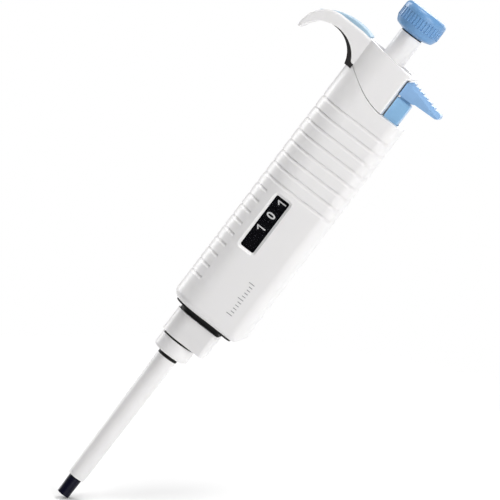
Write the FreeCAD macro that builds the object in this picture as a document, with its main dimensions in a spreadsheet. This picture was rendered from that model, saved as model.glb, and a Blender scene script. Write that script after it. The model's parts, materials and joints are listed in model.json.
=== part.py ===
import FreeCAD, Part
import math
import os
import Sketcher

# Adjustable air-displacement micropipette, 10-100 ul, one node per physical piece.
# Frame: millimetres, +Z from the tip cone to the push button, origin at the centre of the
# tip cone's open end, volume window facing -Y, finger hook towards -X, ejector lever +X.

V = FreeCAD.Vector
os.makedirs("parts", exist_ok=True)
doc = FreeCAD.newDocument("Micropipette")

# ---------------------------------------------------------------- driving dimensions
SIZE = {
    # push button, stem and operating rod
    "button_base": 226.4, "button_top": 237.2, "button_r": 9.35, "button_neck_r": 5.0,
    "button_shoulder_r": 8.2, "button_shoulder_z": 227.4, "button_grip_low": 229.9,
    "button_grip_high": 234.1, "button_round": 2.2, "flute_r": 0.5, "flute_circle_r": 9.5,
    "spigot_r": 3.6, "spigot_top": 231.0, "stem_r": 4.85, "stem_bottom": 206.3,
    "stem_top": 225.9, "neck_ring_r": 4.6, "rod_corner_r": 1.9, "rod_bottom": 106.1,
    "rod_top": 223.0, "collar_r": 3.4, "collar_bottom": 148.0, "collar_top": 151.0,
    # volume screw
    "screw_r": 4.0, "screw_bottom": 152.0, "screw_top": 195.5, "screw_hex_r": 2.05,
    "screw_head_r": 5.4, "washer_r": 4.3, "washer_bottom": 151.1, "washer_top": 151.95,
    "nut_bore_r": 4.08, "nut_r": 7.4, "nut_bottom": 160.0, "nut_top": 166.0,
    "tower_r": 9.2, "tower_inner_r": 7.8, "tower_bottom": 149.0, "tower_flange": 158.0,
    # handle
    "handle_r": 13.5, "handle_right": 19.7, "handle_corner": 4.5, "handle_wall": 1.8,
    "handle_bottom": 89.7, "handle_floor": 92.3, "handle_round": 3.2, "ledge_top": 194.9,
    "ledge_bottom": 192.9, "seam_low": 194.9, "seam_r": 29.0, "seam_cx": 12.0,
    "seam_start_x": -2.0, "seam_start_z": 198.50, "seam_end_x": -14.6, "seam_end_z": 205.44,
    "head_right": 9.9, "bar_slot_left": 10.1, "bar_slot_right": 17.2, "bar_slot_half": 4.9,
    "groove_first": 102.1, "groove_pitch": 5.29, "groove_tall": 1.5, "groove_deep": 0.55,
    "groove_short_x": -7.2, "window_half": 3.15, "window_low": 122.1, "window_high": 146.1,
    "lens_front": 12.25, "lens_back": 11.35, "floor_hole_r": 6.28, "rod_hole_r": 1.45,
    # head and finger hook
    "head_left_top": 216.0, "head_right_top": 213.4, "head_lip": 11.9, "seam_gap": 0.18,
    "cup_floor": 210.7, "cup_floor_r": 8.1, "cup_rim_r": 10.9, "cup_rim_z": 216.5,
    "bush_hole_r": 6.2, "head_deck": 207.0, "bush_r": 6.15, "bush_bore_r": 4.93,
    "hook_cx": -25.3, "hook_cz": 204.4, "hook_r": 12.0, "hook_tip_z": 202.8,
    "arch_cx": -25.0, "arch_cz": 199.5, "arch_r": 11.7, "hook_width": 17.2,
    "liner_cx": -23.8, "liner_cz": 198.3, "liner_r": 13.2, "inlay_width": 13.8,
    "inlay_cx": -19.5, "inlay_cz": 193.65, "inlay_r": 24.2,
    # volume counter
    "hub_bore_r": 4.55, "hub_r": 5.1, "hub_bottom": 122.2, "hub_top": 152.0,
    "drum_r": 10.6, "drum_inner_r": 9.6, "drum_bore_r": 5.2, "drum_sleeve_r": 6.5,
    "drive_low": 120.5, "drive_high": 129.9, "units_low": 141.7, "units_high": 146.3,
    "tens_low": 135.9, "hundreds_low": 130.1, "gear_root_r": 8.1, "gear_tip_r": 9.4,
    "pinion_root_r": 2.75, "pinion_tip_r": 4.1, "pinion_hub_r": 1.5, "pinion_bore_r": 0.66,
    "shaft_r": 0.6, "shaft_x": 10.567, "shaft_y": 6.603, "plate_low_bottom": 117.5,
    "plate_low_top": 120.0, "plate_high_bottom": 146.6, "plate_high_top": 149.0,
    "post_x": 15.4, "post_y": 9.2, "post_r": 1.2,
    # piston, barrel and tip cone
    "piston_r": 2.1325, "piston_bottom": 52.0, "piston_top": 104.0, "holder_r": 4.3,
    "holder_top": 106.0, "holder_flange": 104.8, "holder_neck_r": 2.9, "holder_bottom": 99.0,
    "seat_top": 82.0, "stop_low": 96.3, "stop_high": 97.7, "stop_bore_r": 4.5,
    "stop_r": 5.1, "barrel_cup_r": 6.2, "barrel_cup_bore_r": 5.2, "barrel_cup_top": 99.0,
    "barrel_cup_low": 78.6, "barrel_r": 3.45, "barrel_foot": 14.0, "barrel_foot_r": 2.8,
    "bore_r": 2.2, "bore_low": 35.0, "pocket_r": 3.6, "pocket_low": 77.8,
    "pocket_high": 80.8, "air_r": 0.9, "land_r": 2.6, "land_tall": 3.0, "cone_r": 2.75,
    "cone_visible": 8.6, "nut_low": 92.4, "nut_high": 97.4, "barrel_nut_r": 8.3,
    # ejector
    "tube_bottom": 8.6, "tube_foot_r": 3.55, "tube_low_r": 3.65, "tube_high_r": 4.3,
    "tube_top": 76.9, "tube_lip_bore_r": 2.95, "tube_low_bore_r": 3.05,
    "tube_high_bore_r": 3.7, "band_low": 68.0, "band_high": 69.55, "band_root_r": 3.98,
    "eject_collar_r": 7.5, "eject_collar_low": 69.6, "eject_collar_high": 75.75,
    "gap_ring_r": 6.9, "yoke_low": 76.65, "yoke_high": 87.1, "yoke_r": 8.3,
    "yoke_right": 11.7, "yoke_corner": 2.0, "yoke_bore_r": 6.85, "yoke_step": 77.45,
    "bumper_low": 87.3, "bumper_r": 7.7, "bumper_right": 11.4,
    "flange_r": 10.8, "flange_right": 16.3, "flange_tall": 0.7, "rod_low_x": 9.8,
    "rod_high_x": 13.6, "eject_rod_r": 1.1, "rod_bend_low": 104.0, "rod_bend_high": 112.0,
    "rod_foot": 80.0, "bar_left": 10.5, "bar_right": 16.8, "bar_half": 4.5,
    "bar_bottom": 160.0, "bar_top": 205.2, "lever_left": 10.4, "lever_half": 6.5,
    "lever_bottom": 205.2, "lever_tip": 28.6,
}

sheet = doc.addObject("Spreadsheet::Sheet", "dims")
for row, (alias, number) in enumerate(SIZE.items(), 1):
    sheet.set(f"A{row}", alias)
    sheet.set(f"B{row}", str(number))
    sheet.setAlias(f"B{row}", alias)
doc.recompute()


def value(expression):
    """Number that a sum such as 'stem_r + 0.1' stands for."""
    total, sign = 0.0, 1.0
    for token in str(expression).split():
        if token in ("+", "-"):
            sign = -1.0 if token == "-" else 1.0
            continue
        total += sign * (SIZE[token] if token in SIZE else float(token))
        sign = 1.0
    return total


def bound(expression):
    """The same sum with its names pointing at the sheet."""
    return " ".join("dims." + t if t in SIZE else t for t in str(expression).split())


def span(low, high):
    """Sum for the distance from one height to another."""
    flip = {"+": "-", "-": "+"}
    return f"{high} - " + " ".join(flip.get(t, t) for t in low.split())


def bind(obj, prop, expression):
    """Set a property to a sum of sheet cells."""
    if any(t in SIZE for t in str(expression).split()):
        obj.setExpression(prop, bound(expression))
    else:
        setattr(obj, prop, value(expression))


# ---------------------------------------------------------------- sketches
def new_body(label):
    body = doc.addObject("PartDesign::Body", label)
    body.Label = label
    return body


def new_sketch(body, role="XY_Plane", offset="0"):
    """Sketch on one of the body's own planes, moved along the plane's normal."""
    sketch = body.newObject("Sketcher::SketchObject", body.Name + "_sketch")
    plane = next(o for o in body.Origin.OriginFeatures if o.Role == role)
    sketch.AttachmentSupport = [(plane, "")]
    sketch.MapMode = "FlatFace"
    sketch.AttachmentOffset = FreeCAD.Placement(V(0, 0, value(offset)), FreeCAD.Rotation())
    if any(t in SIZE for t in str(offset).split()):
        sketch.setExpression(".AttachmentOffset.Base.z", bound(offset))
    return sketch


def locate(sketch, geometry, point, x, y):
    """Pin one point of the sketch to sums of sheet cells."""
    for kind, axis, expression in (("DistanceX", -2, x), ("DistanceY", -1, y)):
        if value(expression) == 0:
            sketch.addConstraint(Sketcher.Constraint("PointOnObject", geometry, point, axis))
            continue
        number = sketch.addConstraint(
            Sketcher.Constraint(kind, -1, 1, geometry, point, value(expression)))
        if any(t in SIZE for t in str(expression).split()):
            sketch.setExpression(f"Constraints[{number}]", bound(expression))


def radius(sketch, geometry, expression):
    number = sketch.addConstraint(Sketcher.Constraint("Radius", geometry, value(expression)))
    if any(t in SIZE for t in str(expression).split()):
        sketch.setExpression(f"Constraints[{number}]", bound(expression))


def polygon(sketch, points):
    """Closed polygon, each corner bound to the sheet."""
    start = sketch.GeometryCount
    corners = [V(value(x), value(y), 0) for x, y in points]
    count = len(points)
    for i in range(count):
        sketch.addGeometry(Part.LineSegment(corners[i], corners[(i + 1) % count]), False)
    for i in range(count):
        sketch.addConstraint(Sketcher.Constraint(
            "Coincident", start + i, 2, start + (i + 1) % count, 1))
    for i, (x, y) in enumerate(points):
        locate(sketch, start + i, 1, x, y)


def circle(sketch, x, y, r):
    number = sketch.addGeometry(Part.Circle(V(value(x), value(y), 0), V(0, 0, 1), value(r)))
    locate(sketch, number, 3, x, y)
    radius(sketch, number, r)


def arc_from(cx, cy, r, start, end):
    return Part.ArcOfCircle(Part.Circle(V(cx, cy, 0), V(0, 0, 1), r),
                            math.radians(start), math.radians(end))


def d_outline(sketch, r, right, corner):
    """Half circle about the axis on the left, flat right side with two round corners."""
    a, x, c = value(r), value(right), value(corner)
    pieces = [
        arc_from(0, 0, a, 90, 270),
        Part.LineSegment(V(0, -a, 0), V(x - c, -a, 0)),
        arc_from(x - c, c - a, c, 270, 360),
        Part.LineSegment(V(x, c - a, 0), V(x, a - c, 0)),
        arc_from(x - c, a - c, c, 0, 90),
        Part.LineSegment(V(x - c, a, 0), V(0, a, 0)),
    ]
    g = [sketch.addGeometry(piece, False) for piece in pieces]
    for i in range(6):
        sketch.addConstraint(Sketcher.Constraint("Tangent", g[i], 2, g[(i + 1) % 6], 1))
    for kind, i in (("Horizontal", 1), ("Vertical", 3), ("Horizontal", 5)):
        sketch.addConstraint(Sketcher.Constraint(kind, g[i]))
    sketch.addConstraint(Sketcher.Constraint("Coincident", g[0], 3, -1, 1))
    sketch.addConstraint(Sketcher.Constraint("Equal", g[2], g[4]))
    radius(sketch, g[0], r)
    radius(sketch, g[2], corner)
    number = sketch.addConstraint(Sketcher.Constraint("DistanceX", -1, 1, g[3], 1, x))
    sketch.setExpression(f"Constraints[{number}]", bound(right))


# ---------------------------------------------------------------- features
def pad(body, sketch, length, both_ways=False):
    feature = body.newObject("PartDesign::Pad", body.Name + "_pad")
    feature.Profile = sketch
    feature.Midplane = both_ways
    bind(feature, "Length", length)
    sketch.Visibility = False
    return feature


def pocket(body, sketch, length, both_ways=False):
    """Cut below the sketch plane, or to both sides of it."""
    feature = body.newObject("PartDesign::Pocket", body.Name + "_pocket")
    feature.Profile = sketch
    feature.Midplane = both_ways
    bind(feature, "Length", length)
    return feature


def revolve(body, points, kind="PartDesign::Revolution"):
    """Turn a profile of (radius, height) corners about the pipette's axis."""
    sketch = new_sketch(body, "XZ_Plane")
    polygon(sketch, points)
    feature = body.newObject(kind, body.Name + "_turn")
    feature.Profile = sketch
    feature.ReferenceAxis = (sketch, ["V_Axis"])
    feature.Angle = 360
    return feature


def edges_where(feature, test):
    """Names of the edges of a feature whose middle passes the test."""
    doc.recompute()
    names = []
    for number, edge in enumerate(feature.Shape.Edges, 1):
        middle = edge.valueAt((edge.FirstParameter + edge.LastParameter) / 2)
        if test(edge, middle):
            names.append(f"Edge{number}")
    return names


def round_edges(body, feature, test, size, kind="PartDesign::Fillet"):
    names = edges_where(feature, test)
    rounded = body.newObject(kind, body.Name + "_round")
    rounded.Base = (feature, names)
    if kind == "PartDesign::Fillet":
        bind(rounded, "Radius", size)
    else:
        bind(rounded, "Size", size)
    return rounded


PIECES = {}


def keep(obj, label):
    """Name a finished sub-part: its label is its node name and its file name."""
    obj.Label = label
    PIECES[label] = obj
    return obj


def turned(label, points):
    body = new_body(label)
    revolve(body, points)
    return keep(body, label)


def ring(label, bore, outer, low, high):
    return turned(label, [(bore, low), (outer, low), (outer, high), (bore, high)])


def hex_prism(name, corner_r, low, high):
    prism = doc.addObject("Part::Prism", name)
    prism.Polygon = 6
    bind(prism, "Circumradius", corner_r)
    bind(prism, "Height", span(low, high))
    prism.Placement = FreeCAD.Placement(V(0, 0, value(low)), FreeCAD.Rotation())
    prism.setExpression(".Placement.Base.z", bound(low))
    return prism


def cut(label, base, tool):
    result = doc.addObject("Part::Cut", label + "_cut")
    result.Base, result.Tool = base, tool
    return keep(result, label)


def spring(label, mean_r, wire_r, low, high, turns, x="0"):
    """Open coil from one seat to the other, its wire clear of both."""
    helix = doc.addObject("Part::Helix", label + "_helix")
    bind(helix, "Radius", mean_r)
    tall = value(high) - value(low) - 2 * value(wire_r)
    helix.Height = tall
    helix.Pitch = tall / turns
    wire = doc.addObject("Part::Circle", label + "_wire")
    bind(wire, "Radius", wire_r)
    lead = math.degrees(math.atan2(tall / turns, 2 * math.pi * value(mean_r)))
    wire.Placement = FreeCAD.Placement(
        V(value(mean_r), 0, 0), FreeCAD.Rotation(V(1, 0, 0), lead - 90))
    coil = doc.addObject("Part::Sweep", label + "_coil")
    coil.Sections, coil.Spine = [wire], (helix, [])
    coil.Solid, coil.Frenet = True, True
    coil.Placement = FreeCAD.Placement(
        V(value(x), 0, value(low) + value(wire_r)), FreeCAD.Rotation())
    return keep(coil, label)


# ---------------------------------------------------------------- button, stem and rod
button = new_body("push_button")
turn = revolve(button, [
    ("spigot_r + 0.05", "button_base"), ("button_neck_r", "button_base"),
    ("button_shoulder_r", "button_shoulder_z"), ("button_r", "button_grip_low"),
    ("button_r", "button_top"), ("0", "button_top"), ("0", "spigot_top + 0.2"),
    ("spigot_r + 0.05", "spigot_top + 0.2")])
rim = round_edges(
    button, turn,
    lambda e, p: abs(p.z - SIZE["button_top"]) < 0.01 and math.hypot(p.x, p.y) > 9,
    "button_round")
belly = round_edges(
    button, rim,
    lambda e, p: abs(p.z - SIZE["button_shoulder_z"]) < 0.01, "1.6")
flute = new_sketch(button, "XY_Plane", "button_grip_high")
circle(flute, "flute_circle_r", "0", "flute_r")
slot = pocket(button, flute, "button_grip_high - button_grip_low")
flutes = button.newObject("PartDesign::PolarPattern", "button_flutes")
flutes.Originals = [slot]
flutes.Axis = (flute, ["N_Axis"])
flutes.Angle = 360
flutes.Occurrences = 38
button.Tip = flutes
keep(button, "push_button")

ring("neck_ring", "spigot_r + 0.05", "neck_ring_r", "stem_top", "button_base")
turned("stem", [
    ("rod_corner_r + 0.06", "stem_bottom"), ("stem_r", "stem_bottom"),
    ("stem_r", "stem_top"), ("spigot_r", "stem_top"), ("spigot_r", "spigot_top"),
    ("0", "spigot_top"), ("0", "rod_top + 0.1"), ("rod_corner_r + 0.06", "rod_top + 0.1")])
keep(hex_prism("operating_rod_bar", "rod_corner_r", "rod_bottom", "rod_top"),
     "operating_rod")
ring("rod_collar", "rod_corner_r + 0.03", "collar_r", "collar_bottom", "collar_top")

# ---------------------------------------------------------------- volume screw and nut
screw_blank = new_body("adjusting_screw_blank")
revolve(screw_blank, [
    ("0", "screw_bottom"), ("screw_r", "screw_bottom"), ("screw_r", "screw_top - 4"),
    ("screw_head_r", "screw_top - 4"), ("screw_head_r", "screw_top"), ("0", "screw_top")])
cut("adjusting_screw", screw_blank,
    hex_prism("screw_socket", "screw_hex_r", "screw_bottom - 1", "screw_top + 1"))
ring("thrust_washer", "rod_corner_r + 0.2", "washer_r", "washer_bottom", "washer_top")
turned("fixed_nut", [
    ("nut_bore_r", "nut_bottom - 3.5"), ("5.4", "nut_bottom - 3.5"), ("5.4", "nut_bottom"),
    ("nut_r", "nut_bottom"), ("nut_r", "nut_top"), ("nut_bore_r", "nut_top")])
turned("nut_tower", [
    ("tower_inner_r", "tower_bottom"), ("tower_r", "tower_bottom"), ("tower_r", "nut_bottom"),
    ("5.45", "nut_bottom"), ("5.45", "tower_flange"), ("tower_inner_r", "tower_flange")])

# ---------------------------------------------------------------- volume counter
turned("drum_hub", [
    ("hub_bore_r", "hub_bottom"), ("hub_r", "hub_bottom"),
    ("hub_r", "plate_high_top + 0.05"), ("6.5", "plate_high_top + 0.05"),
    ("6.5", "plate_high_top + 1"), ("hub_r", "plate_high_top + 1"),
    ("hub_r", "hub_top"), ("hub_bore_r", "hub_top")])

drive_blank = new_body("drive_drum_blank")
revolve(drive_blank, [
    ("0", "drive_low"), ("drum_r", "drive_low"), ("drum_r", "drive_high"),
    ("drum_inner_r", "drive_high"), ("drum_inner_r", "drive_low + 1.7"),
    ("drum_sleeve_r", "drive_low + 1.7"), ("drum_sleeve_r", "drive_high"),
    ("drum_bore_r", "drive_high"), ("drum_bore_r", "drive_low + 1.7"),
    ("0", "drive_low + 1.7")])
cut("drive_drum", drive_blank,
    hex_prism("drive_socket", "screw_hex_r", "drive_low - 1", "drive_low + 3"))

turned("units_drum", [
    ("drum_bore_r", "units_low"), ("drum_sleeve_r", "units_low"),
    ("drum_sleeve_r", "units_high - 2"), ("drum_inner_r", "units_high - 2"),
    ("drum_inner_r", "units_low"), ("drum_r", "units_low"), ("drum_r", "units_high"),
    ("drum_inner_r", "units_high"), ("drum_inner_r", "units_high - 1"),
    ("drum_sleeve_r", "units_high - 1"), ("drum_sleeve_r", "units_high"),
    ("drum_bore_r", "units_high")])


def teeth(body, root, tip, half_root, half_tip, low, tall, count):
    """Ring of short trapezoid teeth, the first one on the +X side."""
    sketch = new_sketch(body, "XY_Plane", low)
    polygon(sketch, [
        (f"{root} - 0.3", f"0 - {half_root}"), (tip, f"0 - {half_tip}"),
        (tip, half_tip), (f"{root} - 0.3", half_root)])
    tooth = pad(body, sketch, tall)
    pattern = body.newObject("PartDesign::PolarPattern", body.Name + "_teeth")
    pattern.Originals = [tooth]
    pattern.Axis = (sketch, ["N_Axis"])
    pattern.Angle = 360
    pattern.Occurrences = count
    body.Tip = pattern


def digit_drum(label, low):
    """Drum with a 20-tooth transfer gear above its rim; a tooth gap faces the pinions."""
    body = new_body(label)
    revolve(body, [
        ("drum_bore_r", low), ("drum_sleeve_r", low), ("drum_sleeve_r", f"{low} + 3.4"),
        ("drum_inner_r", f"{low} + 3.4"), ("drum_inner_r", low), ("drum_r", low),
        ("drum_r", f"{low} + 4.5"), ("drum_inner_r", f"{low} + 4.5"),
        ("gear_root_r", f"{low} + 4.6"), ("gear_root_r", f"{low} + 5.6"),
        ("drum_bore_r", f"{low} + 5.6")])
    teeth(body, "gear_root_r", "gear_tip_r", "0.75", "0.4", f"{low} + 4.6", "1.0", 20)
    body.Placement = FreeCAD.Placement(V(0, 0, 0), FreeCAD.Rotation(V(0, 0, 1), 5))
    return keep(body, label)


digit_drum("tens_drum", "tens_low")
digit_drum("hundreds_drum", "hundreds_low")


def carry_pinion(label, low, hub_low):
    """Eight-tooth pinion on the carry shaft, one tooth towards the drums."""
    body = new_body(label)
    revolve(body, [
        ("pinion_bore_r", hub_low), ("pinion_hub_r", hub_low),
        ("pinion_hub_r", f"{low} + 0.1"), ("pinion_root_r", f"{low} + 0.1"),
        ("pinion_root_r", f"{low} + 0.9"), ("pinion_bore_r", f"{low} + 0.9")])
    teeth(body, "pinion_root_r", "pinion_tip_r", "0.75", "0.35", f"{low} + 0.1", "0.8", 8)
    body.Placement = FreeCAD.Placement(
        V(SIZE["shaft_x"], SIZE["shaft_y"], 0), FreeCAD.Rotation(V(0, 0, 1), 32))
    body.setExpression(".Placement.Base.x", bound("shaft_x"))
    body.setExpression(".Placement.Base.y", bound("shaft_y"))
    return keep(body, label)


carry_pinion("carry_pinion_low", "hundreds_low + 4.6", "hundreds_low + 0.6")
carry_pinion("carry_pinion_high", "tens_low + 4.6", "tens_low + 0.2")


def drilled_plate(label, low, high, holes):
    """Plate that fills the handle's inside, with its holes as (x, y, radius)."""
    body = new_body(label)
    outline = new_sketch(body, "XY_Plane", low)
    d_outline(outline, "handle_r - handle_wall - 0.1", "handle_right - handle_wall - 0.1",
              "handle_corner - handle_wall")
    for x, y, r in holes:
        circle(outline, x, y, r)
    pad(body, outline, span(low, high))
    return keep(body, label)


drilled_plate("counter_top_plate", "plate_high_bottom", "plate_high_top", [
    ("0", "0", "hub_r + 0.1"), ("rod_high_x", "0", "rod_hole_r"),
    ("shaft_x", "shaft_y", "shaft_r + 0.02"), ("post_x", "post_y", "0.62"),
    ("post_x", "0 - post_y", "0.62")])
drilled_plate("counter_bottom_plate", "plate_low_bottom", "plate_low_top", [
    ("0", "0", "2.6"), ("rod_high_x", "0", "rod_hole_r"),
    ("shaft_x", "shaft_y", "shaft_r + 0.02")])


posts = new_body("frame_posts_high")
posts_sketch = new_sketch(posts, "XY_Plane", "plate_low_top")
circle(posts_sketch, "post_x", "post_y", "post_r")
circle(posts_sketch, "post_x", "post_y", "0.62")
pad(posts, posts_sketch, "plate_high_bottom - plate_low_top")
posts_mirror = doc.addObject("Part::Mirroring", "frame_posts_low")
posts_mirror.Source = posts
posts_mirror.Normal = V(0, 1, 0)
both_posts = doc.addObject("Part::Compound", "frame_posts_pair")
both_posts.Links = [posts, posts_mirror]
keep(both_posts, "frame_posts")

screw = new_body("frame_screw_high")
for r, low, high in (("0.6", "plate_high_top - 6", "plate_high_top"),
                     ("1.3", "plate_high_top", "plate_high_top + 1")):
    screw_sketch = new_sketch(screw, "XY_Plane", low)
    circle(screw_sketch, "post_x", "post_y", r)
    pad(screw, screw_sketch, "6" if r == "0.6" else "1")
screw_mirror = doc.addObject("Part::Mirroring", "frame_screw_low")
screw_mirror.Source = screw
screw_mirror.Normal = V(0, 1, 0)
both_screws = doc.addObject("Part::Compound", "frame_screws_pair")
both_screws.Links = [screw, screw_mirror]
keep(both_screws, "frame_screws")

shaft = doc.addObject("Part::Cylinder", "pinion_shaft_bar")
bind(shaft, "Radius", "shaft_r")
bind(shaft, "Height", "plate_high_top - plate_low_bottom")
shaft.Placement = FreeCAD.Placement(
    V(SIZE["shaft_x"], SIZE["shaft_y"], SIZE["plate_low_bottom"]), FreeCAD.Rotation())
for axis, cell in (("x", "shaft_x"), ("y", "shaft_y"), ("z", "plate_low_bottom")):
    shaft.setExpression(f".Placement.Base.{axis}", bound(cell))
keep(shaft, "pinion_shaft")

# ---------------------------------------------------------------- handle
handle = new_body("handle_shell_blank")
outline = new_sketch(handle, "XY_Plane", "handle_bottom")
d_outline(outline, "handle_r", "handle_right", "handle_corner")
tall_pad = pad(handle, outline, "seam_end_z + 2 - handle_bottom")
foot = round_edges(
    handle, tall_pad, lambda e, p: abs(p.z - SIZE["handle_bottom"]) < 0.01, "handle_round")

inside = new_sketch(handle, "XY_Plane", "ledge_bottom")
d_outline(inside, "handle_r - handle_wall", "handle_right - handle_wall",
          "handle_corner - handle_wall")
pocket(handle, inside, "ledge_bottom - handle_floor")
upper = new_sketch(handle, "XY_Plane", "seam_end_z + 3")
d_outline(upper, "handle_r - handle_wall", "head_right - 1.5", "1.2")
pocket(handle, upper, "seam_end_z + 3.5 - ledge_bottom")

seam = new_sketch(handle, "XZ_Plane")
seam_top = SIZE["ledge_top"] + SIZE["seam_r"]
seam_from = math.degrees(math.atan2(SIZE["seam_start_z"] - seam_top,
                                    SIZE["seam_start_x"] - SIZE["seam_cx"]))
seam_arc = seam.addGeometry(arc_from(
    SIZE["seam_cx"], seam_top, SIZE["seam_r"], seam_from % 360, 270), False)
corners = [("seam_cx", "ledge_top"), ("21", "ledge_top"), ("21", "seam_end_z + 6"),
           ("seam_end_x", "seam_end_z + 6"), ("seam_end_x", "seam_end_z"),
           ("seam_start_x", "seam_start_z")]
seam_lines = []
for (x0, z0), (x1, z1) in zip(corners[:-1], corners[1:]):
    seam_lines.append(seam.addGeometry(Part.LineSegment(
        V(value(x0), value(z0), 0), V(value(x1), value(z1), 0)), False))
seam.addConstraint(Sketcher.Constraint("Coincident", seam_arc, 2, seam_lines[0], 1))
for a, b in zip(seam_lines[:-1], seam_lines[1:]):
    seam.addConstraint(Sketcher.Constraint("Coincident", a, 2, b, 1))
seam.addConstraint(Sketcher.Constraint("Coincident", seam_lines[-1], 2, seam_arc, 1))
for number, (x, z) in zip(seam_lines, corners):
    locate(seam, number, 1, x, z)
locate(seam, seam_lines[-1], 2, *corners[-1])
radius(seam, seam_arc, "seam_r")
pocket(handle, seam, "60", both_ways=True)

slot = new_sketch(handle, "XY_Plane", "ledge_top + 1")
polygon(slot, [("bar_slot_left", "0 - bar_slot_half"), ("bar_slot_right", "0 - bar_slot_half"),
               ("bar_slot_right", "bar_slot_half"), ("bar_slot_left", "bar_slot_half")])
pocket(handle, slot, "4")
holes = new_sketch(handle, "XY_Plane", "handle_floor + 1")
circle(holes, "0", "0", "floor_hole_r")
circle(holes, "rod_low_x", "0", "rod_hole_r")
pocket(handle, holes, "6")
window = new_sketch(handle, "XZ_Plane", "handle_r + 2")
polygon(window, [("0 - window_half", "window_low"), ("window_half", "window_low"),
                 ("window_half", "window_high"), ("0 - window_half", "window_high")])
window_cut = pocket(handle, window, "handle_wall + 4")
window_corners = round_edges(
    handle, window_cut,
    lambda e, p: (p.y < -11 and abs(abs(p.x) - SIZE["window_half"]) < 0.01
                  and min(abs(p.z - SIZE["window_low"]), abs(p.z - SIZE["window_high"])) < 0.01),
    "0.8")
round_edges(
    handle, window_corners,
    lambda e, p: (p.y < -12.9 and SIZE["window_low"] - 0.01 <= p.z <= SIZE["window_high"] + 0.01
                  and abs(p.x) <= SIZE["window_half"] + 0.01),
    "1.1", "PartDesign::Chamfer")


def d_wire(r, right, corner, z):
    """The D outline at one height as a wire, for the grip grooves."""
    k = corner * (1 - math.sqrt(0.5))
    edges = [
        Part.Arc(V(0, r, z), V(-r, 0, z), V(0, -r, z)).toShape(),
        Part.LineSegment(V(0, -r, z), V(right - corner, -r, z)).toShape(),
        Part.Arc(V(right - corner, -r, z), V(right - k, k - r, z),
                 V(right, corner - r, z)).toShape(),
        Part.LineSegment(V(right, corner - r, z), V(right, r - corner, z)).toShape(),
        Part.Arc(V(right, r - corner, z), V(right - k, r - k, z),
                 V(right - corner, r, z)).toShape(),
        Part.LineSegment(V(right - corner, r, z), V(0, r, z)).toShape(),
    ]
    return Part.Wire(edges)


def groove(number):
    """One saw-tooth groove: a sharp step above that runs out to nothing below."""
    r, right, corner = SIZE["handle_r"], SIZE["handle_right"], SIZE["handle_corner"]
    deep, tall = SIZE["groove_deep"], SIZE["groove_tall"]
    z = SIZE["groove_first"] + number * SIZE["groove_pitch"] - tall / 2
    block = Part.makeBox(60, 60, tall, V(-30, -30, z))
    core = Part.makeLoft([d_wire(r + 0.01, right + 0.01, corner, z),
                          d_wire(r - deep, right - deep, corner - deep, z + tall)], True, True)
    tool = block.cut(core)
    if number < 9:
        tool = tool.common(Part.makeBox(
            30, 60, 2 * tall, V(SIZE["groove_short_x"] - 30, -30, z - tall / 2)))
    return tool


grooves = doc.addObject("Part::Feature", "grip_grooves")
grooves.Shape = Part.makeCompound([groove(number) for number in range(17)])
grooved = doc.addObject("Part::Cut", "handle_grooved")
grooved.Base, grooved.Tool = handle, grooves
doc.recompute()
# The round wall is divided at the short grooves' ends and along the middle of the left side,
# so that each band between two grooves is a plain four-sided face.
left_box = Part.makeBox(60, 120, 300, V(SIZE["groove_short_x"] - 60, -60, 0))
front_box = Part.makeBox(120, 60, 300, V(-60, -60, 0))
left_side = grooved.Shape.common(left_box)
handle_split = doc.addObject("Part::Feature", "handle_split")
handle_split.Shape = grooved.Shape.cut(left_box).fuse(
    [left_side.common(front_box), left_side.cut(front_box)]).Solids[0]
keep(handle_split, "handle_shell")

lens = new_body("window_lens")
lens_sketch = new_sketch(lens, "XZ_Plane", "lens_back")
polygon(lens_sketch, [
    ("0 - window_half + 0.05", "window_low + 0.05"), ("window_half - 0.05", "window_low + 0.05"),
    ("window_half - 0.05", "window_high - 0.05"),
    ("0 - window_half + 0.05", "window_high - 0.05")])
lens_pad = pad(lens, lens_sketch, "lens_front - lens_back")
round_edges(
    lens, lens_pad,
    lambda e, p: abs(abs(p.x) - SIZE["window_half"] + 0.05) < 0.01
    and min(abs(p.z - SIZE["window_low"] - 0.05), abs(p.z - SIZE["window_high"] + 0.05)) < 0.01,
    "0.8")
keep(lens, "window_lens")


# ---------------------------------------------------------------- head and hook
def chain(sketch, pieces, points):
    """Closed chain of arcs and lines; arcs carry their centre and radius, lines their start."""
    numbers = []
    for i, piece in enumerate(pieces):
        a = V(*points[i], 0)
        b = V(*points[(i + 1) % len(points)], 0)
        if piece is None:
            numbers.append(sketch.addGeometry(Part.LineSegment(a, b), False))
            continue
        cx, cy, r, turn_sign = value(piece[0]), value(piece[1]), value(piece[2]), piece[3]
        start = math.degrees(math.atan2(a.y - cy, a.x - cx)) % 360
        end = math.degrees(math.atan2(b.y - cy, b.x - cx)) % 360
        if turn_sign < 0:
            start, end = end, start
        if end < start:
            end += 360
        numbers.append(sketch.addGeometry(arc_from(cx, cy, r, start, end), False))
    for i, piece in enumerate(pieces):
        j = (i + 1) % len(pieces)
        mine = 2 if piece is None or piece[3] > 0 else 1
        other = 1 if pieces[j] is None or pieces[j][3] > 0 else 2
        sketch.addConstraint(Sketcher.Constraint("Coincident", numbers[i], mine, numbers[j], other))
    for number, piece in zip(numbers, pieces):
        if piece is not None:
            locate(sketch, number, 3, piece[0], piece[1])
            radius(sketch, number, piece[2])
    return numbers


def on_circle(cx, cz, r, z, side):
    """Where a circle of the side view crosses a height, left (-1) or right (+1) of its centre."""
    return value(cx) + side * math.sqrt(value(r) ** 2 - (z - value(cz)) ** 2)


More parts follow.
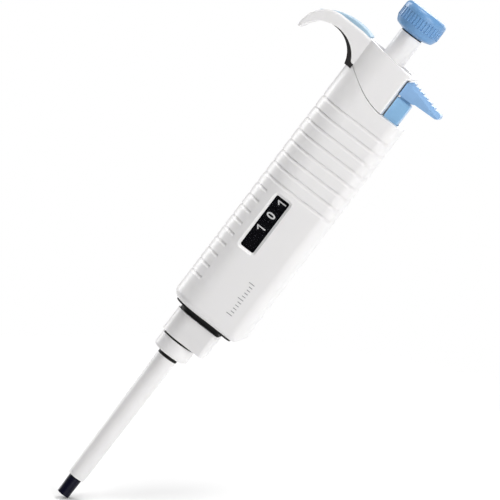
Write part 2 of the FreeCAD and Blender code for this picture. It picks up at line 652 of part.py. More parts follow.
head = new_body("head_shell")
hook = new_sketch(head, "XZ_Plane")
tip_z = SIZE["hook_tip_z"]
hook_points = [
    (SIZE["hook_cx"], SIZE["hook_cz"] + SIZE["hook_r"]),
    (on_circle("hook_cx", "hook_cz", "hook_r", tip_z, -1), tip_z),
    (on_circle("arch_cx", "arch_cz", "arch_r", tip_z, -1), tip_z),
    (on_circle("arch_cx", "arch_cz", "arch_r", 203.8, 1), 203.8),
    (-9.0, 203.8), (-9.0, 215.4), (-15.0, 216.25)]
chain(hook, [("hook_cx", "hook_cz", "hook_r", 1), None,
             ("arch_cx", "arch_cz", "arch_r", -1), None, None, None, None], hook_points)
hook_pad_feature = pad(head, hook, "hook_width", both_ways=True)
hook_soft = round_edges(
    head, hook_pad_feature,
    lambda e, p: abs(abs(p.y) - SIZE["hook_width"] / 2) < 0.01 and p.z > 207
    and p.x < -12 and math.hypot(p.x - SIZE["hook_cx"], p.z - SIZE["hook_cz"]) > 11.5,
    "1.0")

# the dark lining's room under the arch
ARCH_LEFT = math.radians(97)
ARCH_RIGHT = math.radians(21.6)


def liner_profile(sketch, grow):
    """Crescent between the arch and the hook's moulded underside."""
    r_in, cx_in, cz_in = SIZE["arch_r"], SIZE["arch_cx"], SIZE["arch_cz"]
    r_out, cx_out, cz_out = SIZE["liner_r"], SIZE["liner_cx"], SIZE["liner_cz"]
    left_out = (cx_out + r_out * math.cos(ARCH_LEFT), cz_out + r_out * math.sin(ARCH_LEFT))
    # the end face points at the arch's centre, so the room's end lies in the same plane
    ray = math.atan2(left_out[1] - cz_in, left_out[0] - cx_in)
    left_in = (cx_in + (r_in - grow) * math.cos(ray), cz_in + (r_in - grow) * math.sin(ray))
    right_in = (cx_in + (r_in - grow) * math.cos(ARCH_RIGHT),
                cz_in + (r_in - grow) * math.sin(ARCH_RIGHT))
    right_out = (on_circle("liner_cx", "liner_cz", "liner_r", right_in[1], 1), right_in[1])
    chain(sketch, [("arch_cx", "arch_cz", f"arch_r - {grow}", -1), None,
                   ("liner_cx", "liner_cz", "liner_r", 1), None],
          [left_in, right_in, right_out, left_out])



def inlay_profile(sketch, grow=0.0):
    """Side view of the pad let into the top of the hook."""
    cx, cz, r = SIZE["hook_cx"], SIZE["hook_cz"], SIZE["hook_r"]
    px, pz, pr = SIZE["inlay_cx"], SIZE["inlay_cz"], SIZE["inlay_r"]
    left = math.radians(136 + 10 * grow)
    out_x = cx + r * math.cos(left)
    end = (out_x, pz + math.sqrt(pr ** 2 - (out_x - px) ** 2))
    floor = r - 0.8 - grow
    root = (cx + floor * math.cos(left), cz + floor * math.sin(left))
    right = -11.6 + grow
    chain(sketch, [("hook_cx", "hook_cz", f"hook_r - {0.8 + grow}", -1), None, None,
                   ("inlay_cx", "inlay_cz", "inlay_r", 1), None],
          [root, (cx, cz + floor), (right, 215.2 - grow),
           (right, pz + math.sqrt(pr ** 2 - (right - px) ** 2)), end])


head_outline = new_sketch(head, "XY_Plane", "seam_low - 1")
d_outline(head_outline, "handle_r", "head_right", "0.8")
pad(head, head_outline, "23")
lip_outline = new_sketch(head, "XY_Plane", "211.4")
d_outline(lip_outline, "handle_r", "head_lip", "3.0")
pad(head, lip_outline, "6")
liner_room = new_sketch(head, "XZ_Plane")
liner_profile(liner_room, 0.4)
pocket(head, liner_room, "30", both_ways=True)
inlay_room = new_sketch(head, "XZ_Plane")
inlay_profile(inlay_room, 0.03)
pocket(head, inlay_room, "inlay_width + 0.1", both_ways=True)

top = new_sketch(head, "XZ_Plane")
polygon(top, [("0 - handle_r", "head_left_top"), ("head_lip + 0.1", "head_right_top"),
              ("head_lip + 0.1", "222"), ("0 - handle_r", "222")])
pocket(head, top, "60", both_ways=True)
lip_under = new_sketch(head, "XZ_Plane")
polygon(lip_under, [("head_right", "211"), ("head_lip + 0.2", "211"),
                    ("head_lip + 0.2", "213.3"), ("head_right", "211.5")])
pocket(head, lip_under, "60", both_ways=True)
seat = new_sketch(head, "XZ_Plane")
seat_curve = []
for x in (1.0, 4.0, 7.0):
    z = seam_top - math.sqrt(SIZE["seam_r"] ** 2 - (x - SIZE["seam_cx"]) ** 2)
    seat_curve.append((str(x), f"{round(z + 0.04, 4)} + seam_gap"))
polygon(seat, [
    ("0 - handle_r", "seam_end_z - 0.58 + seam_gap"),
    ("seam_start_x", "seam_start_z + seam_gap")] + seat_curve + [
    ("head_right + 0.5", "seam_low + 0.1 + seam_gap"), ("head_right + 0.5", "190"),
    ("0 - handle_r", "190")])
pocket(head, seat, "60", both_ways=True)
room = new_sketch(head, "XY_Plane", "head_deck")
d_outline(room, "handle_r - handle_wall", "head_right - 1.8", "1.2")
pocket(head, room, "20")
revolve(head, [("0", "cup_floor"), ("cup_floor_r", "cup_floor"), ("cup_rim_r", "cup_rim_z"),
               ("cup_rim_r", "220"), ("0", "220")], "PartDesign::Groove")
bore = new_sketch(head, "XY_Plane", "cup_floor + 1")
circle(bore, "0", "0", "bush_hole_r")
pocket(head, bore, "10")
keep(head, "head_shell")

liner = new_body("hook_lining")
liner_sketch = new_sketch(liner, "XZ_Plane")
liner_profile(liner_sketch, 0.0)
pad(liner, liner_sketch, "hook_width - 0.3", both_ways=True)
# the lining runs on down beside the handle, wrapping its round side
tail_z = SIZE["arch_cz"] + SIZE["arch_r"] * math.sin(ARCH_RIGHT)
tail = new_sketch(liner, "XZ_Plane")
chain(tail, [("arch_cx", "arch_cz", "arch_r", -1), None, None, None],
      [(on_circle("arch_cx", "arch_cz", "arch_r", tail_z, 1), tail_z),
       (on_circle("arch_cx", "arch_cz", "arch_r", 202.0, 1), 202.0),
       (-9.9, 201.8), (-9.9, tail_z)])
pad(liner, tail, "hook_width - 0.3", both_ways=True)
liner_side = doc.addObject("Part::Cylinder", "hook_liner_side")
liner_side.Radius = SIZE["handle_r"] + 0.03
liner_side.Height = 40
liner_side.Placement = FreeCAD.Placement(V(0, 0, 185), FreeCAD.Rotation())
cut("hook_liner", liner, liner_side)

inlay = new_body("hook_pad")
inlay_sketch = new_sketch(inlay, "XZ_Plane")
inlay_profile(inlay_sketch)
inlay_block = pad(inlay, inlay_sketch, "inlay_width", both_ways=True)
round_edges(
    inlay, inlay_block,
    lambda e, p: abs(abs(p.y) - SIZE["inlay_width"] / 2) < 0.01 and p.z > 216.8, "0.5")
keep(inlay, "hook_pad")

ring("stem_bush", "bush_bore_r", "bush_r", "head_deck", "cup_floor + 0.2")

# ---------------------------------------------------------------- piston and barrel
turned("piston", [("0", "piston_bottom"), ("piston_r", "piston_bottom"),
                  ("piston_r", "piston_top"), ("0", "piston_top")])
turned("piston_holder", [
    ("piston_r + 0.02", "holder_bottom"), ("holder_neck_r", "holder_bottom"),
    ("holder_neck_r", "holder_flange"), ("holder_r", "holder_flange"),
    ("holder_r", "holder_top"), ("0", "holder_top"), ("0", "piston_top"),
    ("piston_r + 0.02", "piston_top")])
spring("main_spring", "3.6", "0.3", "seat_top", "holder_flange", 8)
spring("blowout_spring", "4.6", "0.3", "seat_top", "stop_low", 6)
ring("stop_ring", "stop_bore_r", "stop_r", "stop_low", "stop_high")
turned("barrel", [
    ("air_r", "barrel_foot + 6"), ("1.92", "barrel_foot + 6"), ("1.92", "barrel_foot"),
    ("barrel_foot_r", "barrel_foot"), ("barrel_r", "66"), ("barrel_r", "77.3"),
    ("4.2", "77.3"), ("4.2", "barrel_cup_low"), ("barrel_cup_r", "barrel_cup_low"),
    ("barrel_cup_r", "87.2"), ("6.6", "87.2"), ("6.6", "handle_bottom"),
    ("barrel_cup_r", "handle_bottom"), ("barrel_cup_r", "barrel_cup_top"),
    ("barrel_cup_bore_r", "barrel_cup_top"), ("barrel_cup_bore_r", "pocket_high"),
    ("pocket_r", "pocket_high"), ("pocket_r", "pocket_low"), ("bore_r", "pocket_low"),
    ("bore_r", "bore_low"), ("air_r", "bore_low - 1")])
turned("tip_cone", [
    ("air_r", "0"), ("land_r", "0"), ("land_r", "land_tall"), ("cone_r", "cone_visible"),
    ("cone_r", "barrel_foot"), ("1.9", "barrel_foot"), ("1.9", "barrel_foot + 5.9"),
    ("air_r", "barrel_foot + 5.9")])
ring("piston_seal", "piston_r + 0.02", "pocket_r - 0.05", "pocket_low", "pocket_low + 1.4")
o_ring = doc.addObject("Part::Torus", "seal_o_ring_torus")
o_ring.Radius1 = 2.88
o_ring.Radius2 = 0.68
o_ring.Placement = FreeCAD.Placement(
    V(0, 0, SIZE["pocket_low"] + 2.12), FreeCAD.Rotation())
keep(o_ring, "seal_o_ring")
ring("seal_retainer", "bore_r + 0.1", "barrel_cup_bore_r - 0.05", "pocket_high", "seat_top")
nut_body = turned("barrel_nut", [
    ("barrel_cup_r + 0.05", "nut_low"), ("barrel_nut_r", "nut_low"),
    ("barrel_nut_r", "nut_high"), ("barrel_cup_r + 0.05", "nut_high")])

# ---------------------------------------------------------------- ejector
turned("ejector_tube", [
    ("tube_lip_bore_r", "tube_bottom"), ("tube_foot_r", "tube_bottom"),
    ("tube_foot_r", "tube_bottom + 1.2"), ("tube_low_r", "tube_bottom + 1.6"),
    ("4.26", "band_low"), ("band_root_r", "band_low"), ("band_root_r", "band_high"),
    ("tube_high_r", "band_high"), ("tube_high_r", "tube_top"),
    ("tube_high_bore_r", "tube_top"), ("tube_low_bore_r", "tube_bottom + 3"),
    ("tube_lip_bore_r", "tube_bottom + 2.6")])
ring("tube_band", "band_root_r + 0.01", "4.27", "band_low", "band_high")
collar = new_body("ejector_collar")
collar_turn = revolve(collar, [
    ("tube_high_r + 0.02", "eject_collar_low"), ("eject_collar_r", "eject_collar_low"),
    ("eject_collar_r", "eject_collar_high"), ("tube_high_r + 0.02", "eject_collar_high")])
round_edges(
    collar, collar_turn,
    lambda e, p: abs(p.z - SIZE["eject_collar_low"]) < 0.01 and math.hypot(p.x, p.y) > 7,
    "1.2")
keep(collar, "ejector_collar")
ring("gap_ring", "tube_high_r + 0.02", "gap_ring_r", "eject_collar_high", "yoke_low")

yoke = new_body("ejector_yoke")
yoke_outline = new_sketch(yoke, "XY_Plane", "yoke_low")
d_outline(yoke_outline, "yoke_r", "yoke_right", "yoke_corner")
pad(yoke, yoke_outline, "yoke_high - yoke_low")
yoke_bore = new_sketch(yoke, "XY_Plane", "yoke_high")
circle(yoke_bore, "0", "0", "yoke_bore_r")
pocket(yoke, yoke_bore, "yoke_high - yoke_step")
tube_bore = new_sketch(yoke, "XY_Plane", "yoke_step")
circle(tube_bore, "0", "0", "tube_high_r + 0.02")
pocket(yoke, tube_bore, "2")
rod_socket = new_sketch(yoke, "XY_Plane", "yoke_high")
circle(rod_socket, "rod_low_x", "0", "eject_rod_r + 0.01")
pocket(yoke, rod_socket, "yoke_high - rod_foot")
keep(yoke, "ejector_yoke")

bumper = new_body("bumper_ring")
bumper_outline = new_sketch(bumper, "XY_Plane", "bumper_low")
d_outline(bumper_outline, "bumper_r", "bumper_right", "1.7")
circle(bumper_outline, "0", "0", "6.65")
circle(bumper_outline, "rod_low_x", "0", "rod_hole_r")
pad(bumper, bumper_outline, "handle_bottom - bumper_low")
flange_outline = new_sketch(bumper, "XY_Plane", "handle_bottom - flange_tall")
d_outline(flange_outline, "flange_r", "flange_right", "2.2")
circle(flange_outline, "0", "0", "6.65")
circle(flange_outline, "rod_low_x", "0", "rod_hole_r")
pad(bumper, flange_outline, "flange_tall")
keep(bumper, "bumper_ring")

bar = new_body("ejector_bar")
for low, high, inset in (("bar_bottom", "bar_top - 1.1", "0"),
                         ("bar_top - 1.1", "bar_top", "0.7")):
    bar_sketch = new_sketch(bar, "XY_Plane", low)
    polygon(bar_sketch, [
        (f"bar_left + {inset}", f"0 - bar_half + {inset}"),
        (f"bar_right - {inset}", f"0 - bar_half + {inset}"),
        (f"bar_right - {inset}", f"bar_half - {inset}"),
        (f"bar_left + {inset}", f"bar_half - {inset}")])
    bar_pad = pad(bar, bar_sketch, "1.1" if inset == "0.7" else "bar_top - 1.1 - bar_bottom")
keep(bar, "ejector_bar")

lever = new_body("ejector_lever")
side = new_sketch(lever, "XZ_Plane")
polygon(side, [
    ("lever_left", "lever_bottom"), ("bar_right + 0.4", "lever_bottom"),
    ("bar_right + 1.0", "lever_bottom + 0.45"), ("lever_tip - 1.3", "lever_bottom + 0.8"),
    ("lever_tip - 0.2", "206.6"), ("lever_tip", "207.5"), ("lever_tip - 0.3", "208.3"),
    ("lever_tip - 1.0", "208.75"), ("12.3", "212.45"), ("lever_left", "211.0")])
block = pad(lever, side, "lever_half + lever_half", both_ways=True)
bevel = lever.newObject("PartDesign::Chamfer", "lever_bevel")
bevel.Base = (block, edges_where(
    block, lambda e, p: abs(abs(p.y) - SIZE["lever_half"]) < 0.01 and p.z > 210
    and 15 < p.x < 25))
bevel.ChamferType = "Two distances"
bevel.Size = 2.0
bevel.Size2 = 1.9
steps = new_sketch(lever, "XZ_Plane")
for i in range(6):
    x = 13.2 + 2.3 * i
    z = 212.45 - (x - 12.3) * 0.2417
    polygon(steps, [(str(round(x, 4)), str(round(z + 0.6, 4))),
                    (str(round(x, 4)), str(round(z - 0.62, 4))),
                    (str(round(x + 1.9, 4)), str(round(z - 0.45, 4))),
                    (str(round(x + 1.9, 4)), str(round(z + 0.6, 4)))])
pocket(lever, steps, "20", both_ways=True)
keep(lever, "ejector_lever")

# bent push rod from the slide bar down to the yoke: straight runs with tangent arcs
rod_points = [V(SIZE["rod_high_x"], 0, SIZE["bar_bottom"]),
              V(SIZE["rod_high_x"], 0, SIZE["rod_bend_high"]),
              V(SIZE["rod_low_x"], 0, SIZE["rod_bend_low"]),
              V(SIZE["rod_low_x"], 0, SIZE["rod_foot"])]
BEND = 4.0
rod_edges, last = [], rod_points[0]
for before, corner, after in zip(rod_points, rod_points[1:], rod_points[2:]):
    into = (corner - before).normalize()
    out = (after - corner).normalize()
    half = into.getAngle(out) / 2
    reach = BEND * math.tan(half)
    start, end = corner - into * reach, corner + out * reach
    middle = corner + (out - into).normalize() * (BEND / math.cos(half) - BEND)
    rod_edges += [Part.LineSegment(last, start).toShape(),
                  Part.Arc(start, middle, end).toShape()]
    last = end
rod_edges.append(Part.LineSegment(last, rod_points[-1]).toShape())
rod_path = Part.Wire(rod_edges)
rod_section = Part.Wire(Part.makeCircle(
    SIZE["eject_rod_r"], rod_points[0], V(0, 0, 1)))
rod = doc.addObject("Part::Feature", "ejector_rod")
rod.Shape = rod_path.makePipeShell([rod_section], True, True)
keep(rod, "ejector_rod")
spring("ejector_spring", "2.1", "0.25", "plate_high_top", "bar_bottom", 6, "rod_high_x")

# ---------------------------------------------------------------- check and write
doc.recompute()
failed = [o.Name for o in doc.Objects if {"Invalid", "Error"} & set(o.State)]
if failed:
    raise SystemExit(f"failed objects: {failed}")
for label, obj in PIECES.items():
    shape = obj.Shape
    if shape.isNull() or not shape.isValid() or not shape.Solids:
        raise SystemExit(f"{label}: no valid solid")
for label, obj in PIECES.items():
    obj.Shape.exportStep(f"parts/{label}.step")
    print(f"{label:22s} {len(obj.Shape.Solids)} solid(s) {obj.Shape.Volume:10.2f} mm3")
print(len(PIECES), "pieces")
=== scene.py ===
import json
import math

import bmesh
import bpy
from mathutils import Matrix, Vector


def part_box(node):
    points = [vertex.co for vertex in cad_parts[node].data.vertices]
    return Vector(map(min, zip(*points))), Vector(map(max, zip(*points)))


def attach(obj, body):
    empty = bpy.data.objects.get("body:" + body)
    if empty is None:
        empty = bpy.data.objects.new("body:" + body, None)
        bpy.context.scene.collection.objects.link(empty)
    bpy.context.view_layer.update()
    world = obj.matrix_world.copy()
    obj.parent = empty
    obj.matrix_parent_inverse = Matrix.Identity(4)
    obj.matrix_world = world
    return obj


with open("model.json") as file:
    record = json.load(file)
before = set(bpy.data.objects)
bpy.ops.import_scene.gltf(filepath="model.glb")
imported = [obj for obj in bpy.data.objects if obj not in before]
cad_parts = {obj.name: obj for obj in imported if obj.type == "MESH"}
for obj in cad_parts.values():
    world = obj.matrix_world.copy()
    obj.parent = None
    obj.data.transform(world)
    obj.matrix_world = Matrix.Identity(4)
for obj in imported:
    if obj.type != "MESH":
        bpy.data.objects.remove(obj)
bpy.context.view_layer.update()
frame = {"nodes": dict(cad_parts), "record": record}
nodes = frame["nodes"]
scene = bpy.context.scene
MM = 0.001


# ------------------------------------------------------------------ node helpers
def nodes_of(name):
    """New material with its node tree emptied down to one Principled shader and output."""
    mat = bpy.data.materials.new(name)
    mat.use_nodes = True
    tree = mat.node_tree
    tree.nodes.clear()
    out = tree.nodes.new("ShaderNodeOutputMaterial")
    shader = tree.nodes.new("ShaderNodeBsdfPrincipled")
    tree.links.new(shader.outputs["BSDF"], out.inputs["Surface"])
    return mat, tree, shader


def object_coords(tree):
    return tree.nodes.new("ShaderNodeTexCoord").outputs["Object"]


def noise(tree, coords, scale, detail=3.0, stretch=(1, 1, 1)):
    mapping = tree.nodes.new("ShaderNodeMapping")
    mapping.inputs["Scale"].default_value = stretch
    tree.links.new(coords, mapping.inputs["Vector"])
    texture = tree.nodes.new("ShaderNodeTexNoise")
    texture.inputs["Scale"].default_value = scale
    texture.inputs["Detail"].default_value = detail
    tree.links.new(mapping.outputs["Vector"], texture.inputs["Vector"])
    return texture.outputs["Fac"]


def ramp(tree, value, low, high, start=0.3, end=0.7):
    """Value from low to high as the input goes from start to end."""
    node = tree.nodes.new("ShaderNodeMapRange")
    node.inputs["From Min"].default_value = start
    node.inputs["From Max"].default_value = end
    node.inputs["To Min"].default_value = low
    node.inputs["To Max"].default_value = high
    tree.links.new(value, node.inputs["Value"])
    return node.outputs["Result"]


def blend_colours(tree, factor, a, b):
    mix = tree.nodes.new("ShaderNodeMix")
    mix.data_type = "RGBA"
    mix.inputs["A"].default_value = (*a, 1)
    mix.inputs["B"].default_value = (*b, 1)
    tree.links.new(factor, mix.inputs["Factor"])
    return mix.outputs["Result"]


def bump(tree, shader, height, distance, strength=1.0, normal=None):
    node = tree.nodes.new("ShaderNodeBump")
    node.inputs["Strength"].default_value = strength
    node.inputs["Distance"].default_value = distance
    tree.links.new(height, node.inputs["Height"])
    if normal is not None:
        tree.links.new(normal, node.inputs["Normal"])
    tree.links.new(node.outputs["Normal"], shader.inputs["Normal"])
    return node.outputs["Normal"]


def moulded(name, colour, rough, grain=0.012, soft=0.0, vary=0.03, gloss=0.5):
    """Injection-moulded plastic: fine spark-eroded grain, broad flow clouding, soft gloss."""
    mat, tree, shader = nodes_of(name)
    coords = object_coords(tree)
    clouds = noise(tree, coords, 55.0, 2.0, (1, 1, 0.4))
    darker = tuple(c * (1 - vary) for c in colour)
    tint = blend_colours(tree, ramp(tree, clouds, 0.0, 1.0), darker, colour)
    tree.links.new(tint, shader.inputs["Base Color"])
    fine = noise(tree, coords, 3200.0, 2.0)
    tree.links.new(ramp(tree, fine, rough - 0.05, rough + 0.07), shader.inputs["Roughness"])
    peel = noise(tree, coords, 420.0, 2.0)
    first = bump(tree, shader, peel, grain * MM, 0.5)
    bump(tree, shader, fine, grain * 0.5 * MM, 0.6, first)
    shader.inputs["IOR"].default_value = 1.49
    shader.inputs["Specular IOR Level"].default_value = gloss
    shader.inputs["Subsurface Weight"].default_value = soft
    shader.inputs["Subsurface Radius"].default_value = (0.6, 0.6, 0.7)
    shader.inputs["Subsurface Scale"].default_value = 0.001
    return mat


def rubber(name, colour):
    mat, tree, shader = nodes_of(name)
    coords = object_coords(tree)
    dust = noise(tree, coords, 900.0, 4.0)
    tint = blend_colours(
        tree, ramp(tree, dust, 0.0, 1.0), colour, tuple(c * 1.5 + 0.004 for c in colour))
    tree.links.new(tint, shader.inputs["Base Color"])
    tree.links.new(ramp(tree, dust, 0.55, 0.75), shader.inputs["Roughness"])
    shader.inputs["Specular IOR Level"].default_value = 0.22
    bump(tree, shader, noise(tree, coords, 2600.0, 2.0), 0.02 * MM, 0.6)
    return mat


def metal(name, colour, rough, stretch=(1, 1, 1), scratch=0.004):
    """Drawn or turned metal: fine marks drawn out along one direction."""
    mat, tree, shader = nodes_of(name)
    coords = object_coords(tree)
    marks = noise(tree, coords, 1500.0, 4.0, stretch)
    tint = blend_colours(tree, ramp(tree, marks, 0.0, 1.0), tuple(c * 0.86 for c in colour), colour)
    tree.links.new(tint, shader.inputs["Base Color"])
    tree.links.new(ramp(tree, marks, rough - 0.06, rough + 0.1), shader.inputs["Roughness"])
    bump(tree, shader, marks, scratch * MM, 0.6)
    shader.inputs["Metallic"].default_value = 1.0
    return mat


def paint(name, colour, rough=0.55):
    """Printed ink, a little uneven."""
    mat, tree, shader = nodes_of(name)
    coords = object_coords(tree)
    grain = noise(tree, coords, 2500.0, 3.0)
    tint = blend_colours(tree, ramp(tree, grain, 0.0, 1.0), tuple(c * 0.88 for c in colour), colour)
    tree.links.new(tint, shader.inputs["Base Color"])
    tree.links.new(ramp(tree, grain, rough - 0.05, rough + 0.1), shader.inputs["Roughness"])
    return mat


def clear_lens(name):
    """Clear moulded window: mostly see-through, with a soft surface gloss."""
    mat, tree, shader = nodes_of(name)
    coords = object_coords(tree)
    haze = noise(tree, coords, 260.0, 2.0)
    tree.links.new(ramp(tree, haze, 0.04, 0.09), shader.inputs["Roughness"])
    tint = blend_colours(tree, ramp(tree, haze, 0.0, 1.0), (0.03, 0.03, 0.04), (0.05, 0.05, 0.06))
    tree.links.new(tint, shader.inputs["Base Color"])
    shader.inputs["Alpha"].default_value = 0.05
    shader.inputs["Specular IOR Level"].default_value = 0.25
    shader.inputs["IOR"].default_value = 1.49
    return mat


WHITE = moulded("white_moulded", (0.80, 0.79, 0.79), 0.38, soft=0.15, vary=0.02)
LOOKS = {
    "white_plastic": WHITE,
    "button_blue": moulded("button_blue", (0.145, 0.315, 0.570), 0.34, vary=0.08),
    "lever_blue": moulded("lever_blue", (0.250, 0.430, 0.690), 0.33, vary=0.06),
    "bar_blue": moulded("bar_blue", (0.270, 0.500, 0.750), 0.36, vary=0.06),
    "pad_blue": moulded("pad_blue", (0.330, 0.480, 0.600), 0.52, grain=0.03, vary=0.05),
    # liner_dark: the dark liner along the hook's underside stands where that underside is in shade,
    # so it is painted shade made as a dark part
    "liner_dark": rubber("liner_dark", (0.012, 0.011, 0.011)),
    "cone_navy": moulded("cone_navy", (0.003, 0.003, 0.014), 0.24, vary=0.2, gloss=0.2),
    "drum_black": moulded(
        "drum_black", (0.002, 0.002, 0.003), 0.6, grain=0.003, vary=0.2, gloss=0.04),
    "grey_plastic": moulded("grey_moulded", (0.17, 0.17, 0.18), 0.5, vary=0.06),
    "natural_plastic": moulded("natural_moulded", (0.62, 0.60, 0.54), 0.42, soft=0.2, vary=0.05),
    # black_rubber: the black rings under the handle, between the ejector's steps and under the
    # collar fill the dark bands where shade falls between parts, so they are painted shade made as
    # black parts
    "black_rubber": rubber("black_rubber", (0.006, 0.006, 0.006)),
    "lens": clear_lens("window_clear"),
    "steel": metal("drawn_steel", (0.58, 0.58, 0.59), 0.3, (1, 1, 0.02)),
    "chrome": metal("polished_chrome", (0.75, 0.75, 0.77), 0.1, (1, 1, 0.05), 0.001),
    "brass": metal("turned_brass", (0.62, 0.47, 0.20), 0.3, (0.1, 0.1, 1)),
}
slot_of = {s["node"]: s["material_slot"] for s in frame["record"]["subparts"]}
for node, obj in nodes.items():
    obj.data.materials.clear()
    obj.data.materials.append(LOOKS[slot_of[node]])


def soften(node, width):
    """Small radius on the sharp edges of a moulded piece."""
    modifier = nodes[node].modifiers.new("soft_edges", "BEVEL")
    modifier.width = width * MM
    modifier.segments = 2
    modifier.limit_method = "ANGLE"
    modifier.angle_limit = math.radians(35)


for node, width in (("ejector_lever", 0.7), ("ejector_bar", 0.4), ("ejector_yoke", 0.4),
                    ("ejector_collar", 0.3), ("bumper_ring", 0.3), ("tip_cone", 0.4),
                    ("stem", 0.25), ("hook_pad", 0.2)):
    soften(node, width)


# ------------------------------------------------------------------ printed characters
INK_WHITE = paint("digit_white", (0.80, 0.80, 0.80))
INK_GREY = paint("print_grey", (0.20, 0.20, 0.21))
INK_PROUD = 0.015 * MM
DIGIT_TALL, DIGIT_WIDE = 3.85 * MM, 2.15 * MM
DIGIT_WEIGHT, DIGIT_SLICE = 0.022, 0.35 * MM


def letters(text, tall, wide, weight):
    """Flat mesh of a text, centred on the origin, tall and wide in metres."""
    curve = bpy.data.curves.new("letters", "FONT")
    curve.body = text
    curve.align_x, curve.align_y = "CENTER", "CENTER"
    curve.offset = weight
    curve.resolution_u = 6
    holder = bpy.data.objects.new("letters", curve)
    scene.collection.objects.link(holder)
    bpy.context.view_layer.update()
    mesh = bpy.data.meshes.new_from_object(holder)
    bpy.data.objects.remove(holder)
    bpy.data.curves.remove(curve)
    xs = [v.co.x for v in mesh.vertices]
    ys = [v.co.y for v in mesh.vertices]
    scale_y = tall / (max(ys) - min(ys))
    scale_x = wide / (max(xs) - min(xs))
    mid_x, mid_y = (max(xs) + min(xs)) / 2, (max(ys) + min(ys)) / 2
    for v in mesh.vertices:
        v.co = Vector(((v.co.x - mid_x) * scale_x, (v.co.y - mid_y) * scale_y, 0))
    return mesh


def slice_across(bm, step):
    """Cut a flat mesh into upright strips so that it can follow a curve."""
    xs = [v.co.x for v in bm.verts]
    low, high = min(xs), max(xs)
    x = low + step
    while x < high:
        bmesh.ops.bisect_plane(
            bm, geom=bm.verts[:] + bm.edges[:] + bm.faces[:],
            plane_co=(x, 0, 0), plane_no=(1, 0, 0))
        x += step


def one_glyph():
    """A plain 1 with a flag and no foot, drawn from its outline; height 1."""
    mesh = bpy.data.meshes.new("one")
    mesh.from_pydata([(0.06, -0.5, 0), (0.19, -0.5, 0), (0.19, 0.5, 0), (0.06, 0.5, 0),
                      (-0.25, 0.22, 0), (-0.17, 0.10, 0), (0.06, 0.31, 0)], [],
                     [(0, 1, 2, 3, 6), (3, 4, 5, 6)])
    return mesh


def drum_digits(name, drum, body, centre_z, shown):
    """The ten digits of a drum, each lying with its top towards -X, the shown one in the window."""
    low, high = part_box(drum)
    r = (high.x - low.x) / 2 + INK_PROUD
    tall = DIGIT_TALL
    whole = bmesh.new()
    for digit in range(10):
        if digit == 1:
            mesh = one_glyph()
            for v in mesh.vertices:
                v.co *= tall
        else:
            mesh = letters(str(digit), tall, DIGIT_WIDE, DIGIT_WEIGHT)
        for v in mesh.vertices:
            v.co = Vector((-v.co.y, v.co.x, 0))
        bm = bmesh.new()
        bm.from_mesh(mesh)
        bpy.data.meshes.remove(mesh)
        slice_across(bm, DIGIT_SLICE)
        facing = math.radians(-90 - 36 * (digit - shown))
        for v in bm.verts:
            angle = facing + v.co.x / r
            v.co = Vector((r * math.cos(angle), r * math.sin(angle), centre_z + v.co.y))
        part = bpy.data.meshes.new("digit")
        bm.to_mesh(part)
        bm.free()
        whole.from_mesh(part)
        bpy.data.meshes.remove(part)
    bmesh.ops.recalc_face_normals(whole, faces=whole.faces[:])
    mesh = bpy.data.meshes.new(name)
    whole.to_mesh(mesh)
    whole.free()
    obj = bpy.data.objects.new(name, mesh)
    scene.collection.objects.link(obj)
    mesh.materials.append(INK_WHITE)
    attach(obj, body)
    return obj


# the counter reads upwards: hundreds lowest, units at the top and between two digits
drum_digits("units_digits", "units_drum", "units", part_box("units_drum")[0].z + 2.3 * MM, 1.04)
drum_digits("tens_digits", "tens_drum", "tens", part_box("tens_drum")[0].z + 2.1 * MM, -0.04)
drum_digits("hundreds_digits", "hundreds_drum", "hundreds",
            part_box("hundreds_drum")[0].z + 1.5 * MM, 0.92)

# a plain row of ticks stands where the handle is printed, with no lettering
handle_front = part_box("handle_shell")[0].y
TICK_COUNT, TICK_FIRST, TICK_PITCH, TICK_END, TICK_HALF = 11, 98.0, 1.46, 11.5, 0.14
tick_mesh = bpy.data.meshes.new("printed_ticks")
corners, faces = [], []
for step in range(TICK_COUNT):
    z = TICK_FIRST + TICK_PITCH * step
    reach_x = 2.6 if step % 5 == 0 else 1.6
    first = len(corners)
    corners += [(x * MM, handle_front - 0.02 * MM, (z + dz) * MM) for x, dz in (
        (TICK_END - reach_x, -TICK_HALF), (TICK_END, -TICK_HALF),
        (TICK_END, TICK_HALF), (TICK_END - reach_x, TICK_HALF))]
    faces.append(tuple(range(first, first + 4)))
tick_mesh.from_pydata(corners, [], faces)
ticks = bpy.data.objects.new("printed_ticks", tick_mesh)
scene.collection.objects.link(ticks)
tick_mesh.materials.append(INK_GREY)
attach(ticks, "body")

# ------------------------------------------------------------------ camera
# The pipette leans to the right in the picture, so the camera is rolled; the row stays upright.
AZIMUTH, ELEVATION, LEAN = math.radians(4.5), math.radians(6.0), math.radians(37.25)
DISTANCE, WIDTH = 1.85, 0.195
back = Vector((math.sin(AZIMUTH) * math.cos(ELEVATION),
               -math.cos(AZIMUTH) * math.cos(ELEVATION), math.sin(ELEVATION)))
level = Vector((math.cos(AZIMUTH), math.sin(AZIMUTH), 0))
upright = back.cross(level)
right = level * math.cos(LEAN) + upright * math.sin(LEAN)
up = upright * math.cos(LEAN) - level * math.sin(LEAN)
aim = Vector((0, 0, 0.1213)) + level * 0.0005
camera_data = bpy.data.cameras.new("camera")
camera_data.sensor_width = 36
camera_data.lens = 36 * DISTANCE / WIDTH
camera_data.clip_start, camera_data.clip_end = 0.1, 20
camera = bpy.data.objects.new("camera", camera_data)
scene.collection.objects.link(camera)
camera.matrix_world = Matrix.Translation(aim + back * DISTANCE) @ Matrix(
    (right, up, back)).transposed().to_4x4()
scene.camera = camera

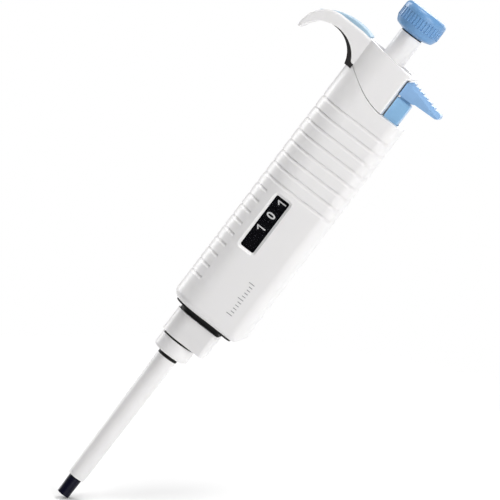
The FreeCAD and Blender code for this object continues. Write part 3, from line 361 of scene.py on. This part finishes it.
# ------------------------------------------------------------------ floor and light
PITCH = math.radians(14)
normal = (up * math.cos(PITCH) + back * math.sin(PITCH)).normalized()
floor_mesh = bpy.data.meshes.new("floor")
bm = bmesh.new()
bmesh.ops.create_circle(bm, cap_ends=True, radius=1.6, segments=96)
bm.to_mesh(floor_mesh)
bm.free()
floor = bpy.data.objects.new("floor", floor_mesh)
scene.collection.objects.link(floor)
cone_low, cone_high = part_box("tip_cone")
corner = Vector((cone_high.x * 0.95 if normal.x < 0 else cone_low.x * 0.95, 0, 0))
floor.rotation_mode = "QUATERNION"
floor.rotation_quaternion = normal.to_track_quat("Z", "Y")
floor.location = corner - normal * 0.0001

floor_mat, tree, shader = nodes_of("floor_white")
paper = noise(tree, object_coords(tree), 40.0, 3.0)
tree.links.new(blend_colours(tree, ramp(tree, paper, 0.0, 1.0), (0.94, 0.94, 0.94),
                             (0.96, 0.96, 0.96)), shader.inputs["Base Color"])
shader.inputs["Roughness"].default_value = 0.9
shader.inputs["Specular IOR Level"].default_value = 0.1
out = next(n for n in tree.nodes if n.type == "OUTPUT_MATERIAL")
geometry = tree.nodes.new("ShaderNodeNewGeometry")
clear = tree.nodes.new("ShaderNodeBsdfTransparent")
mixer = tree.nodes.new("ShaderNodeMixShader")
# far from the tip the camera sees the white backdrop through the floor, which still lights
reach = tree.nodes.new("ShaderNodeVectorMath")
reach.operation = "LENGTH"
tree.links.new(object_coords(tree), reach.inputs[0])
open_part = tree.nodes.new("ShaderNodeMath")
open_part.operation = "MAXIMUM"
tree.links.new(geometry.outputs["Backfacing"], open_part.inputs[0])
seen_part = tree.nodes.new("ShaderNodeMath")
seen_part.operation = "MULTIPLY"
tree.links.new(tree.nodes.new("ShaderNodeLightPath").outputs["Is Camera Ray"], seen_part.inputs[0])
tree.links.new(ramp(tree, reach.outputs["Value"], 0.0, 1.0, 0.09, 0.25), seen_part.inputs[1])
tree.links.new(seen_part.outputs["Value"], open_part.inputs[1])
tree.links.new(open_part.outputs["Value"], mixer.inputs["Fac"])
tree.links.new(shader.outputs["BSDF"], mixer.inputs[1])
tree.links.new(clear.outputs["BSDF"], mixer.inputs[2])
tree.links.new(mixer.outputs["Shader"], out.inputs["Surface"])
floor_mesh.materials.append(floor_mat)


def softbox(name, direction, distance, size, power):
    data = bpy.data.lights.new(name, "AREA")
    data.shape = "RECTANGLE"
    data.size, data.size_y = size
    data.energy = power
    obj = bpy.data.objects.new(name, data)
    scene.collection.objects.link(obj)
    away = Vector(direction).normalized()
    obj.location = Vector((0, 0, 0.12)) + away * distance
    obj.rotation_mode = "QUATERNION"
    obj.rotation_quaternion = away.to_track_quat("Z", "Y")


softbox("key", (0.42, -0.85, 0.50), 0.72, (0.35, 0.5), 2.85)
softbox("rim", (-1.0, 0.60, 0.15), 1.1, (0.35, 1.0), 9.0)
softbox("side", (-0.9, -0.35, 0.15), 1.1, (0.35, 1.0), 1.0)
softbox("top", (-0.25, -0.15, 1.0), 1.1, (0.5, 0.5), 6.8)
softbox("back", (0.1, 1.0, 0.5), 1.2, (0.8, 0.8), 5.6)

# a white backdrop for the camera, and only a little of its light on the object
world = bpy.data.worlds.new("studio")
world.use_nodes = True
tree = world.node_tree
tree.nodes.clear()
out = tree.nodes.new("ShaderNodeOutputWorld")
light_path = tree.nodes.new("ShaderNodeLightPath")
glow = tree.nodes.new("ShaderNodeBackground")
glow.inputs["Strength"].default_value = 0.16
backdrop = tree.nodes.new("ShaderNodeBackground")
for background in (glow, backdrop):
    background.inputs["Color"].default_value = (1, 1, 1, 1)
backdrop.inputs["Strength"].default_value = 1.0
mixer = tree.nodes.new("ShaderNodeMixShader")
tree.links.new(light_path.outputs["Is Camera Ray"], mixer.inputs["Fac"])
tree.links.new(glow.outputs["Background"], mixer.inputs[1])
tree.links.new(backdrop.outputs["Background"], mixer.inputs[2])
tree.links.new(mixer.outputs["Shader"], out.inputs["Surface"])
scene.world = world
scene.view_settings.view_transform = "Standard"
